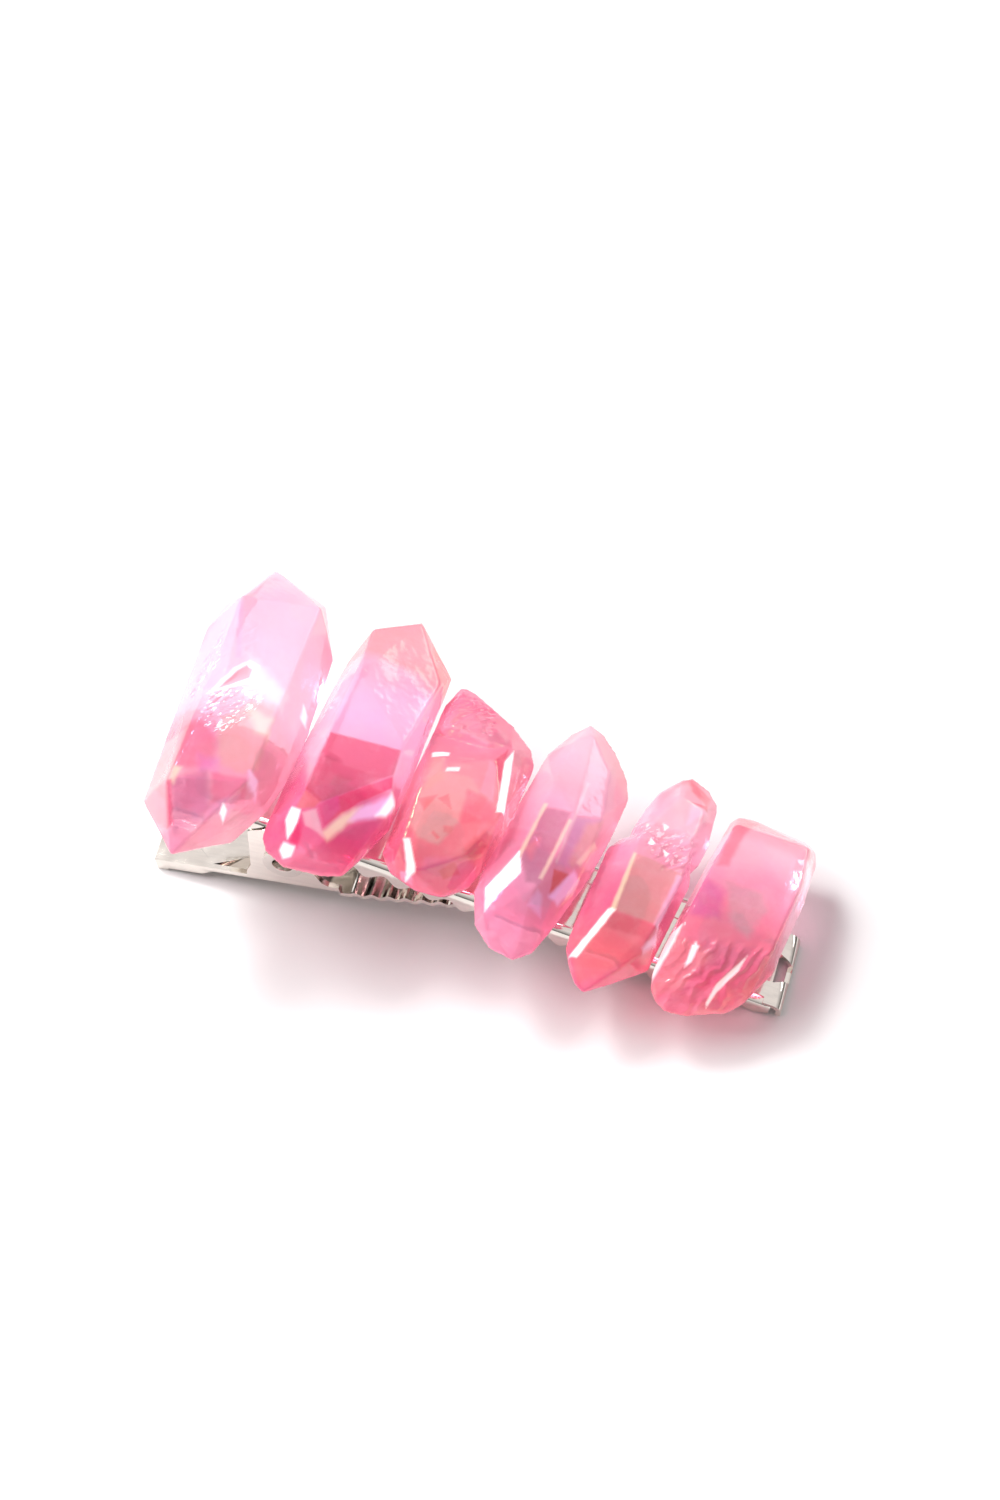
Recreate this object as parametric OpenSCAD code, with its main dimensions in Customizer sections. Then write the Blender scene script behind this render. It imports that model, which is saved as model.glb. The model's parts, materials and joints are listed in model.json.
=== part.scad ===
// Hair clip: a sprung, toothed steel clip with six crystal points glued across its upper arm.
// Millimetres. +X runs from the thumb tabs to the tip, +Z up. The clip is closed and lies on z = 0.

/* [Steel] */
// Thickness of the stamped sheet
sheet = 0.5; // [0.4:0.05:0.5]
// Half of the width of both arms outside
arm_half_w = 4.1; // [4.1:0.05:4.3]
// Outside radius of the folds along the arms
fold_r = 0.9; // [0.7:0.1:1.2]

/* [Upper arm] */
// Length of the upper arm behind the hinge
top_rear = 13.4; // [12:0.2:14]
// Length of the upper arm in front of the hinge
top_front = 47.2; // [47:0.1:47.3]
// Height of the upper arm's top face above the hinge axis, square to the arm
top_rise = 5.0; // [5:0.05:5.1]
// How far the upper arm slopes down to the tip, degrees
top_slope = 12.3; // [12.2:0.05:12.3]
// Spacing of the teeth along the flanges
tooth_pitch = 3.1; // [2.8:0.1:3.6]
// Depth of the flange in the gaps between teeth
gap_depth = 1.25; // [1.1:0.05:1.6]
// Depth of the flange at a tooth
tooth_depth = 2.4; // [2:0.1:2.4]

/* [Lower arm] */
// Length of the lower arm behind the hinge
low_rear = 13.4; // [12.8:0.1:13.4]
// Depth of the lower arm's bottom face below the hinge axis, square to the arm
low_drop = 4.26; // [4.2:0.02:4.3]
// How far the rear of the lower arm slopes, degrees
low_slope = 8.6; // [8.5:0.05:8.6]
// Height of the raised thumb tab and of the low side walls
tab_rise = 1.25; // [1.1:0.05:1.4]
// Where the jaw bends, measured forward from the hinge
jaw_bend_at = 16.8; // [16.6:0.1:16.8]
// How far the jaw bends down, degrees
jaw_bend = 17.1; // [17.1:0.05:17.4]
// Spacing of the ribs pressed across the jaw
rib_pitch = 1.6; // [1.4:0.1:2]
// Height of the ribs to each side of the sheet
rib_amp = 0.2; // [0.1:0.05:0.2]

/* [Hinge] */
// Height of the hinge axis above the table
hinge_h = 6.5; // [6.5:0.05:6.6]
// Outside radius of the rivet's tube
rivet_r = 1.2; // [1.1:0.05:1.25]
// Radius of the rivet's open bore
rivet_bore_r = 0.95; // [0.8:0.05:0.95]
// Radius of the rivet's flared ends
rivet_head_r = 1.9; // [1.7:0.1:2.1]
// Diameter of the spring wire
wire = 0.8; // [0.6:0.05:0.8]

/* [Crystals] */
// Thickness of the glue between the arm and each crystal
glue = 0.3; // [0.2:0.05:0.4]

/* [Hidden] */
$fn = 48;

// Table position of the hinge axis, with the origin under the middle of the whole clip.
hinge_x = -17.45;
centre_y = -3.75;

ear_gap = 0.1;                        // free space between the inner and the outer ears
neck_half_w = arm_half_w - sheet - ear_gap;
inner_ear_r = 2.6;                    // round end of the inner ears
ear_r = 5.15;                         // the outer ears stay inside this radius, under the crystals
sweep_r = 5.4;                        // and the upper arm's full width stays outside this one
hole_low_r = rivet_r + 0.02;
hole_top_r = rivet_r + 0.05;
jaw_start = 4.8;                      // where the lower arm's side walls end
jaw_tip = 45.7;                       // table distance from the hinge to the jaw's tip
table_gap = 0.15;                     // the teeth stop this far above the table
lip_r = 1.0;                          // outside radius of the bend at the tip
// the lip reaches down to the table
lip_depth = (hinge_h + top_rise * cos(top_slope) - top_front * sin(top_slope)) / cos(top_slope);
tab_front = 4.1;                      // the raised tab ends this far behind the hinge
tab_full = 8.9;                       // and is full width from here back
tab_end_half_w = 2.2;
rear_round = 14;                      // radius of the upper arm's rounded rear edge, in plan
low_rear_round = 70;                  // the lower arm's rear edge is nearly straight
rear_drop = 0.28;                     // its rim turns down this far below the floor
rear_rim = 1.2;                       // and runs this far forward from the rear edge
mark_r = 0.95;                        // outside radius of the coined ring on the tab
mark_back = 3.2;                      // its centre, forward from the rear edge
mark_side = -0.9;                     // and towards the clip's near side
mark_depth = 0.08;
through = 9;                          // long enough to cut through an arm
deck = top_rise + glue;               // the crystals' flat undersides

// Each crystal: [thickness, where the top facet starts, where it ends, stations].
// A station is [y, left, right, fill]: y across the clip, left and right along it from the hinge,
// and fill the part of the full thickness that is left there.
crystals = [
    [9.0, 0.34, 0.80, [
        [-11.9, -9.7, -8.9, 0.10], [-8.2, -13.2, -6.2, 0.62], [-4.8, -13.5, -3.1, 0.95],
        [-1.0, -13.6, -2.3, 1.00], [11.5, -13.6, -2.3, 1.00], [16.5, -11.4, -3.9, 0.62],
        [19.0, -10.0, -8.4, 0.14]]],
    [8.0, 0.30, 0.74, [
        [-9.1, -1.0, 3.2, 0.30], [-7.4, -2.3, 6.0, 0.70], [-3.5, -2.3, 7.7, 1.00],
        [3.0, -1.7, 8.2, 1.00], [12.5, -0.7, 8.6, 0.92], [17.0, 0.9, 7.3, 0.55],
        [19.4, 2.6, 4.8, 0.18]]],
    [7.5, 0.26, 0.66, [
        [-6.8, 10.4, 13.6, 0.35], [-4.6, 8.2, 16.6, 0.80], [2.5, 8.6, 17.6, 1.00],
        [9.0, 9.0, 18.1, 0.95], [12.8, 10.0, 15.1, 0.55], [14.8, 10.4, 11.8, 0.15]]],
    [7.0, 0.30, 0.70, [
        [-10.1, 20.1, 22.0, 0.22], [-7.4, 17.9, 23.8, 0.72], [-4.9, 17.1, 24.5, 0.92],
        [3.6, 18.1, 26.8, 1.00], [9.5, 19.2, 27.6, 0.92], [13.5, 21.0, 25.4, 0.50],
        [15.5, 22.2, 23.4, 0.12]]],
    [6.5, 0.30, 0.72, [
        [-10.7, 28.6, 29.6, 0.12], [-8.0, 26.9, 32.6, 0.60], [-6.2, 26.5, 33.9, 0.90],
        [0.0, 27.1, 34.8, 1.00], [4.0, 27.6, 35.3, 1.00], [9.6, 29.9, 35.8, 0.85],
        [12.8, 31.3, 35.3, 0.50], [14.1, 32.4, 33.8, 0.20]]],
    [6.5, 0.24, 0.78, [
        [-9.6, 35.9, 37.8, 0.25], [-8.0, 34.8, 42.0, 0.60], [-6.0, 34.5, 43.6, 0.85],
        [-2.5, 35.3, 45.0, 1.00], [6.0, 36.4, 46.0, 1.00], [10.2, 37.3, 46.0, 0.90],
        [11.9, 38.3, 44.8, 0.55]]]
];

// Each glue pad: [rear edge, front edge] along the clip from the hinge.
glue_pads = [[-11, -5], [0.6, 6], [10.4, 15.2], [19.6, 24], [28.6, 32.8], [37.6, 42.6]];

// ---- placing ----

// At the hinge, in table directions.
module at_hinge() translate([hinge_x, centre_y, hinge_h]) children();

// In the upper arm's directions: X along its plate to the tip, Z square to it.
module in_top() at_hinge() rotate([0, top_slope, 0]) children();

// In the lower arm's directions.
module in_low() at_hinge() rotate([0, -low_slope, 0]) children();

// A cross-section drawn in Y and Z, run along X from x0 to x1.
module along(x0, x1) translate([x0, 0, 0]) rotate([90, 0, 90]) linear_extrude(x1 - x0) children();

// A side view drawn in X and Z, run right across the clip.
module across(half_w) rotate([90, 0, 0]) linear_extrude(2 * half_w, center = true) children();

// A round pin or hole across the clip on the hinge axis.
module axle(r, half_w) rotate([90, 0, 0]) cylinder(r = r, h = 2 * half_w, center = true);

// ---- sections ----

// A solid block with two rounded upper corners, top face on z = 0.
module crowned(half_w, depth, r) {
    translate([-half_w, -depth]) square([2 * half_w, depth - r]);
    translate([r - half_w, -depth]) square([2 * (half_w - r), depth]);
    for (s = [-1, 1]) translate([s * (half_w - r), -r]) circle(r);
}

// A folded channel, open below, top face on z = 0.
module channel(half_w, depth) {
    difference() {
        crowned(half_w, depth, fold_r);
        translate([0, -sheet]) crowned(half_w - sheet, depth, fold_r - sheet);
    }
}

// A rounded rectangle given by its corners.
module rounded(x0, z0, x1, z1, r) {
    translate([x0 + r, z0]) square([x1 - x0 - 2 * r, z1 - z0]);
    translate([x0, z0 + r]) square([x1 - x0, z1 - z0 - 2 * r]);
    for (x = [x0 + r, x1 - r], z = [z0 + r, z1 - r]) translate([x, z]) circle(r);
}

// ---- upper arm ----

// How deep the flange is at distance a from the hinge.
function clear_depth(a) = (hinge_h + top_rise * cos(top_slope) - a * sin(top_slope) - table_gap)
    / cos(top_slope);
function flange_depth(a) = gap_depth + (min(tooth_depth, clear_depth(a)) - gap_depth)
    * (0.5 - 0.5 * cos(360 * (a - teeth_from) / tooth_pitch));

teeth_from = 5.9;
teeth_to = top_front - lip_r - 0.15;
tooth_step = tooth_pitch / 10;

// Side view of the plate and the toothed flanges in front of the hinge.
module toothed_side() {
    polygon(concat(
        [[teeth_to, top_rise + 1], [teeth_from, top_rise + 1]],
        [for (a = [teeth_from : tooth_step : teeth_to]) [a, top_rise - flange_depth(a)]],
        [[teeth_to, top_rise - gap_depth]]
    ));
}

// The plate bends down at the tip into a short lip.
module tip_lip() {
    bend_x = top_front - lip_r;
    overlap = 1;
    below = 4;
    across(arm_half_w - 0.2) translate([bend_x, top_rise]) difference() {
        union() {
            translate([-overlap, -sheet]) square([overlap, sheet]);
            translate([0, -lip_r]) circle(lip_r);
            translate([0, -lip_depth]) square([lip_r, lip_depth - lip_r]);
        }
        translate([0, -lip_r]) circle(lip_r - sheet);
        translate([-below, -below]) square([below, below - sheet]);
        translate([-overlap, -below]) square([overlap + lip_r - sheet, below - lip_r]);
        translate([-overlap, -below]) square([overlap + 2 * lip_r, below - lip_depth]);
    }
}

// Tapered slot through the plate, running out at the tip.
module tip_slot() {
    slot_rear = 41.5;
    slot_full = 45.6;
    slot_end = 47.1;
    half_w = 1.55;
    end_half_w = 0.85;
    translate([0, 0, top_rise - lip_r]) linear_extrude(2 * lip_r) {
        translate([slot_rear, 0]) circle(half_w);
        polygon([[slot_rear, -half_w], [slot_full, -half_w], [slot_end, -end_half_w],
            [slot_end, end_half_w], [slot_full, half_w], [slot_rear, half_w]]);
    }
}

module top_arm() {
    color("gainsboro") in_top() difference() {
        union() {
            // full-width plate with its flanges, cleared round the outer ears
            difference() {
                union() {
                    intersection() {
                        translate([0, 0, top_rise]) along(-top_rear, 0) channel(arm_half_w, gap_depth);
                        translate([rear_round - top_rear, 0, 0]) cylinder(r = rear_round, h = through);
                    }
                    intersection() {
                        translate([0, 0, top_rise]) along(0, teeth_to) channel(arm_half_w, 6);
                        across(through) union() {
                            toothed_side();
                            translate([-0.1, top_rise - sheet]) square([teeth_from + 0.2, sheet]);
                        }
                    }
                }
                difference() {
                    axle(sweep_r, arm_half_w + 1);
                    axle(sweep_r + 1, neck_half_w);
                }
            }
            // inner ears, folded down from the neck
            intersection() {
                translate([0, 0, top_rise]) along(-sweep_r, sweep_r) channel(neck_half_w, through);
                across(through) union() {
                    circle(inner_ear_r);
                    translate([-inner_ear_r, 0]) square([2 * inner_ear_r, top_rise]);
                }
            }
            tip_lip();
        }
        axle(hole_top_r, arm_half_w);
        tip_slot();
    }
}

// ---- lower arm ----

// Outline of the raised thumb tab in plan, inset by e.
module tab_plan(e) {
    intersection() {
        polygon([
            [-low_rear - 1, -arm_half_w + e], [-tab_full, -arm_half_w + e],
            [-tab_front - e, -tab_end_half_w + e], [-tab_front - e, tab_end_half_w - e],
            [-tab_full, arm_half_w - e], [-low_rear - 1, arm_half_w - e]]);
        translate([low_rear_round - low_rear, 0]) circle(low_rear_round - e, $fn = 360);
    }
}

// Side view of the outer ears and the low walls behind them.
module wall_side() {
    ear_rear = -3.2;
    ear_front = 2.9;
    ear_low = -3.4;
    ear_top = 5.8;
    ear_corner = 1.3;
    translate([-low_rear, -low_drop]) square([low_rear + jaw_start, tab_rise]);
    rotate(-low_slope) intersection() {
        circle(ear_r);
        rounded(ear_rear, ear_low, ear_front, ear_top, ear_corner);
    }
    // the foot the ear stands on, flared forward along the jaw
    rotate(-low_slope) polygon([
        [ear_rear, -1.8], [ear_front, -0.9], [3.6, -2.1], [5, -2.8],
        [4.6, -4], [-3.7, -4], [-3.6, -2.9]]);
}

// The jaw as a path in side view: straight on, a round bend, then straight to the tip.
jaw_bend_r = 5;
jaw_turn = jaw_bend_r * tan(jaw_bend / 2);
jaw_mid = sheet / 2 - low_drop;
jaw_s1 = jaw_bend_at - jaw_turn - jaw_start;
jaw_s2 = jaw_s1 + jaw_bend_r * jaw_bend * PI / 180;
jaw_knee_x = jaw_bend_at * cos(low_slope) - jaw_mid * sin(low_slope);
jaw_len = jaw_s2 - jaw_turn + (jaw_tip - jaw_knee_x) / cos(jaw_bend - low_slope);

function jaw_angle(s) = -max(0, min(jaw_bend, (s - jaw_s1) / jaw_bend_r * 180 / PI));
function jaw_point(s) = s <= jaw_s1 ? [jaw_start + s, jaw_mid]
    : s <= jaw_s2 ? [jaw_start + jaw_s1 - jaw_bend_r * sin(jaw_angle(s)),
                     jaw_mid - jaw_bend_r * (1 - cos(jaw_angle(s)))]
    : [jaw_bend_at + (s - jaw_s2 + jaw_turn) * cos(jaw_bend),
       jaw_mid - (s - jaw_s2 + jaw_turn) * sin(jaw_bend)];

// Ribs run from the hinge end to just short of the tip, and fade in and out there.
rib_from = 1.0;
rib_count = 23;
rib_to = rib_from + rib_count * rib_pitch;
function rib(s) = s < rib_from || s > rib_to ? 0 : rib_amp * sin(360 * (s - rib_from) / rib_pitch);
function jaw_edge(s, side) = jaw_point(s)
    + (rib(s) + side * sheet / 2) * [-sin(jaw_angle(s)), cos(jaw_angle(s))];
jaw_steps = [for (s = [0 : rib_pitch / 8 : jaw_len]) s];

// Half of the jaw's outline in plan: it narrows to pass between the teeth and is blunt at the tip.
jaw_half_plan = [[jaw_start, arm_half_w], [14.5, 3.45], [45.6, 2.6], [46.8, 1.9]];

module jaw() {
    intersection() {
        across(arm_half_w) polygon(concat(
            [for (s = jaw_steps) jaw_edge(s, 1)],
            [for (i = [len(jaw_steps) - 1 : -1 : 0]) jaw_edge(jaw_steps[i], -1)]
        ));
        linear_extrude(4 * through, center = true) polygon(concat(
            jaw_half_plan,
            [for (i = [len(jaw_half_plan) - 1 : -1 : 0]) [jaw_half_plan[i].x, -jaw_half_plan[i].y]]
        ));
    }
}

module lower_arm() {
    color("gainsboro") in_low() difference() {
        union() {
            // floor with its side walls and ears
            difference() {
                intersection() {
                    mirror([0, 0, 1]) translate([0, 0, low_drop]) along(-low_rear, jaw_start)
                        channel(arm_half_w, 2 * through);
                    across(through) wall_side();
                    translate([low_rear_round - low_rear, 0, 0])
                        cylinder(r = low_rear_round, h = 4 * through, center = true, $fn = 360);
                }
                translate([0, 0, -through]) linear_extrude(through - low_drop + tab_rise - sheet)
                    tab_plan(sheet);
            }
            // raised thumb tab
            translate([0, 0, -low_drop]) difference() {
                linear_extrude(tab_rise) tab_plan(0);
                translate([0, 0, -1]) linear_extrude(1 + tab_rise - sheet) tab_plan(sheet);
            }
            // rear edge turned down to the table
            translate([0, 0, -low_drop]) difference() {
                translate([0, 0, -rear_drop]) linear_extrude(rear_drop + sheet / 2) tab_plan(0);
                linear_extrude(through, center = true) tab_plan(sheet);
                translate([rear_rim - low_rear, -through, -through]) cube(2 * through);
            }
            jaw();
        }
        axle(hole_low_r, arm_half_w + 1);
        // coined ring on the thumb tab
        translate([mark_back - low_rear, mark_side, tab_rise - low_drop - mark_depth]) difference() {
            cylinder(r = mark_r, h = 1);
            cylinder(r = mark_r - 0.25, h = 3, center = true);
        }
    }
}

// ---- hinge ----

module hinge_rivet() {
    head_t = 0.35;
    color("silver") at_hinge() difference() {
        union() {
            axle(rivet_r, arm_half_w + head_t);
            for (s = [-1, 1]) translate([0, s * (arm_half_w + head_t / 2), 0]) axle(rivet_head_r, head_t / 2);
        }
        axle(rivet_bore_r, arm_half_w + 1);
    }
}

// The spring's wire: a straight leg, the coil, then the other leg, from under the upper tab to the
// lower tab. A path point is [x, y, z, direction of the wire's outer side].
coil_r = rivet_r + 0.15 + wire / 2;
leg_reach = 9.5;
leg_gap = 0.05;
coil_pitch = wire + 0.04;
top_leg = [-leg_reach, top_rise - sheet - wire / 2 - leg_gap];
low_leg = [-leg_reach, tab_rise - low_drop + wire / 2 + leg_gap];
coil_from = atan2(top_leg.y, top_leg.x) - acos(coil_r / norm(top_leg)) - top_slope;
coil_to = 360 + atan2(low_leg.y, low_leg.x) + acos(coil_r / norm(low_leg)) + low_slope - 5 * 360;
coil_turn = coil_from - coil_to;
coil_half_y = coil_turn / 360 * coil_pitch / 2;
coil_steps = 88;

function turned(p, a) = [p.x * cos(a) - p.y * sin(a), p.x * sin(a) + p.y * cos(a)];
function coil_point(i) = let (f = i / coil_steps, a = coil_from - f * coil_turn)
    [coil_r * cos(a), coil_half_y * (2 * f - 1), coil_r * sin(a), a];
function leg_point(p, a, y, out) = let (q = turned(p, a)) [q.x, y, q.y, out];
spring_path = concat(
    [leg_point(top_leg, -top_slope, -coil_half_y, coil_from)],
    [for (i = [0 : coil_steps]) coil_point(i)],
    [leg_point(low_leg, low_slope, coil_half_y, coil_to)]
);
wire_sides = 8;
function wire_ring(p) = [for (k = [0 : wire_sides - 1]) let (t = 360 * k / wire_sides)
    [p[0] + wire / 2 * cos(t) * cos(p[3]), p[1] + wire / 2 * sin(t), p[2] + wire / 2 * cos(t) * sin(p[3])]];

// Faces of a closed skin over rings of the same size.
function skin_faces(rings, sides) = concat(
    [[for (k = [0 : sides - 1]) k]],
    [for (i = [0 : rings - 2], k = [0 : sides - 1]) let (m = (k + 1) % sides)
        [i * sides + m, i * sides + k, (i + 1) * sides + k]],
    [for (i = [0 : rings - 2], k = [0 : sides - 1]) let (m = (k + 1) % sides)
        [i * sides + m, (i + 1) * sides + k, (i + 1) * sides + m]],
    [[for (k = [sides - 1 : -1 : 0]) (rings - 1) * sides + k]]
);

module torsion_spring() {
    color("darkgray") at_hinge() polyhedron(
        points = [for (p = spring_path) each wire_ring(p)],
        faces = skin_faces(len(spring_path), wire_sides),
        convexity = 6
    );
}

// ---- crystals ----

// Six-sided section of a crystal at one station, flat side down.
function crystal_ring(c, st) = let (
        w = st[2] - st[1],
        mid = deck + c[0] * 0.45,
        low = mid - c[0] * 0.45 * st[3],
        high = mid + c[0] * 0.55 * st[3]
    ) [
        [st[1], st[0], mid], [st[1] + 0.22 * w, st[0], low], [st[2] - 0.22 * w, st[0], low],
        [st[2], st[0], mid], [st[1] + c[2] * w, st[0], high], [st[1] + c[1] * w, st[0], high]
    ];

module crystal(i) {
    c = crystals[i];
    color("pink", 0.8) in_top() polyhedron(
        points = [for (st = c[3]) each crystal_ring(c, st)],
        faces = skin_faces(len(c[3]), 6),
        convexity = 4
    );
}

module glue_pad(i) {
    p = glue_pads[i];
    color("white", 0.6) in_top() translate([0, 0, top_rise]) linear_extrude(glue)
        rounded(p[0], -2.8, p[1], 2.8, 1);
}

top_arm();
lower_arm();
hinge_rivet();
torsion_spring();
crystal(0);  // crystal_1
crystal(1);  // crystal_2
crystal(2);  // crystal_3
crystal(3);  // crystal_4
crystal(4);  // crystal_5
crystal(5);  // crystal_6
glue_pad(0);  // glue_1
glue_pad(1);  // glue_2
glue_pad(2);  // glue_3
glue_pad(3);  // glue_4
glue_pad(4);  // glue_5
glue_pad(5);  // glue_6
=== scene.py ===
"""Looks for the crystal hair clip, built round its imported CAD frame. Metres; +X to the tip, +Z up."""
import json
import math

import bmesh
import bpy
import numpy as np
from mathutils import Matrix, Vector, noise


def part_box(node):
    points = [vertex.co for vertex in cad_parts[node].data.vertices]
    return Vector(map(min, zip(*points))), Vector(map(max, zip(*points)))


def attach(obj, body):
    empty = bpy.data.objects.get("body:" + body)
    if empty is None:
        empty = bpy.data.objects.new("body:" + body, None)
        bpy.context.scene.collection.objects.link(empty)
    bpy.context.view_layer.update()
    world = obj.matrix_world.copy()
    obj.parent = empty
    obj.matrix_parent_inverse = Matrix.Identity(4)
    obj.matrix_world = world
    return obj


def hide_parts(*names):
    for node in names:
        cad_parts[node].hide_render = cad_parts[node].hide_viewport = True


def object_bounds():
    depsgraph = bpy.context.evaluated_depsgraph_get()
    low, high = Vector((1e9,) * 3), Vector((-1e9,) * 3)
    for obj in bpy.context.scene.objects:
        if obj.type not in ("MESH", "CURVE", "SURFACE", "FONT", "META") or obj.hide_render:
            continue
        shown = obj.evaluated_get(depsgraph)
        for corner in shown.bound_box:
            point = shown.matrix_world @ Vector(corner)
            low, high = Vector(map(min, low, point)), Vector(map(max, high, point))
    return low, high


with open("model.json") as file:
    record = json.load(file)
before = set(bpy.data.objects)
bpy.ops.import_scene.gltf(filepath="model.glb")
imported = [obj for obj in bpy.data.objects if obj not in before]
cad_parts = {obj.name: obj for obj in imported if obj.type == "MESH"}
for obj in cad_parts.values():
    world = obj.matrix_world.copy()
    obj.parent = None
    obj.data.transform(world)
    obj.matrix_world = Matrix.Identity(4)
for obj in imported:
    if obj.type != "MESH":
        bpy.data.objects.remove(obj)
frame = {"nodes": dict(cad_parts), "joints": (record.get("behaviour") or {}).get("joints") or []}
CAD_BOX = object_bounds()
MM = 0.001

LOWER, UPPER = "lower_clip", "upper_clip"
HINGE = Vector(frame["joints"][0]["pos_m"])     # the rivet's middle, in metres
TOP_SLOPE = math.radians(12.3)      # the upper arm's slope down to the tip
LOW_SLOPE = math.radians(8.6)       # the lower arm's rear slopes up to the hinge
TOP_RISE = 5.0                      # the upper arm's top face above the hinge, mm

ALONG = Vector((math.cos(TOP_SLOPE), 0, -math.sin(TOP_SLOPE)))
ACROSS = Vector((0, 1, 0))
DECK_UP = Vector((math.sin(TOP_SLOPE), 0, math.cos(TOP_SLOPE)))
DECK_AXES = np.array([ALONG, ACROSS, DECK_UP])


def on_deck(a, y, z):
    """A point given in mm from the hinge: along the upper arm, across it, and above its top face."""
    return HINGE + (a * ALONG + y * ACROSS + (TOP_RISE + z) * DECK_UP) * MM


def to_deck(points):
    """World points as rows of (along, across, above) in mm."""
    deck = (points - np.array(HINGE)) @ DECK_AXES.T / MM
    deck[:, 2] -= TOP_RISE
    return deck


# ---------------------------------------------------------------- mesh helpers

def mesh_object(name, bm):
    mesh = bpy.data.meshes.new(name)
    bm.to_mesh(mesh)
    bm.free()
    obj = bpy.data.objects.new(name, mesh)
    bpy.context.collection.objects.link(obj)
    return obj


def hull(bm, points):
    """Adds the convex hull of the points to bm."""
    part = bmesh.new()
    for p in points:
        part.verts.new(p)
    found = bmesh.ops.convex_hull(part, input=part.verts)
    left_over = found["geom_interior"] + found["geom_unused"]
    spare = {v for v in left_over if isinstance(v, bmesh.types.BMVert)}
    bmesh.ops.delete(part, geom=list(spare), context="VERTS")
    bmesh.ops.recalc_face_normals(part, faces=part.faces)
    mesh = bpy.data.meshes.new("part")
    part.to_mesh(mesh)
    part.free()
    bm.from_mesh(mesh)
    bpy.data.meshes.remove(mesh)


def remesh(obj, voxel, passes):
    """Makes the object one even skin, softens its edges, and applies both."""
    skin = obj.modifiers.new("skin", "REMESH")
    skin.mode = "VOXEL"
    skin.voxel_size = voxel * MM
    soften = obj.modifiers.new("soften", "SMOOTH")
    soften.factor = 0.5
    soften.iterations = passes
    with bpy.context.temp_override(object=obj, active_object=obj, selected_objects=[obj]):
        for m in list(obj.modifiers):
            bpy.ops.object.modifier_apply(modifier=m.name)
    obj.data.polygons.foreach_set("use_smooth", [True] * len(obj.data.polygons))


def vertex_places(mesh):
    co = np.empty(len(mesh.vertices) * 3)
    mesh.vertices.foreach_get("co", co)
    return co.reshape(-1, 3)


def vertex_normals(mesh):
    found = np.empty(len(mesh.vertices) * 3)
    mesh.vertex_normals.foreach_get("vector", found)
    return found.reshape(-1, 3)


def move_vertices(mesh, places):
    mesh.vertices.foreach_set("co", places.ravel())
    mesh.update()


def inside(points, corners):
    """Signed distance in mm of each (along, across) point to the polygon's edge, positive inside."""
    best = np.full(len(points), 1e9)
    within = np.zeros(len(points), bool)
    for i, start in enumerate(corners):
        a, b = np.array(start, float), np.array(corners[(i + 1) % len(corners)], float)
        edge, to_point = b - a, points - a
        t = np.clip(to_point @ edge / (edge @ edge), 0, 1)
        best = np.minimum(best, np.linalg.norm(to_point - t[:, None] * edge, axis=1))
        spans = (a[1] > points[:, 1]) != (b[1] > points[:, 1])
        rise = b[1] - a[1] if b[1] != a[1] else 1e-9
        within ^= spans & (points[:, 0] < a[0] + (points[:, 1] - a[1]) * edge[0] / rise)
    return np.where(within, best, -best)


def soft_step(distance, width):
    """From 0 at -width to 1 at +width, with a soft start and end."""
    t = np.clip(distance / width * 0.5 + 0.5, 0, 1)
    return t * t * (3 - 2 * t)


# ---------------------------------------------------------------- node helpers

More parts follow.
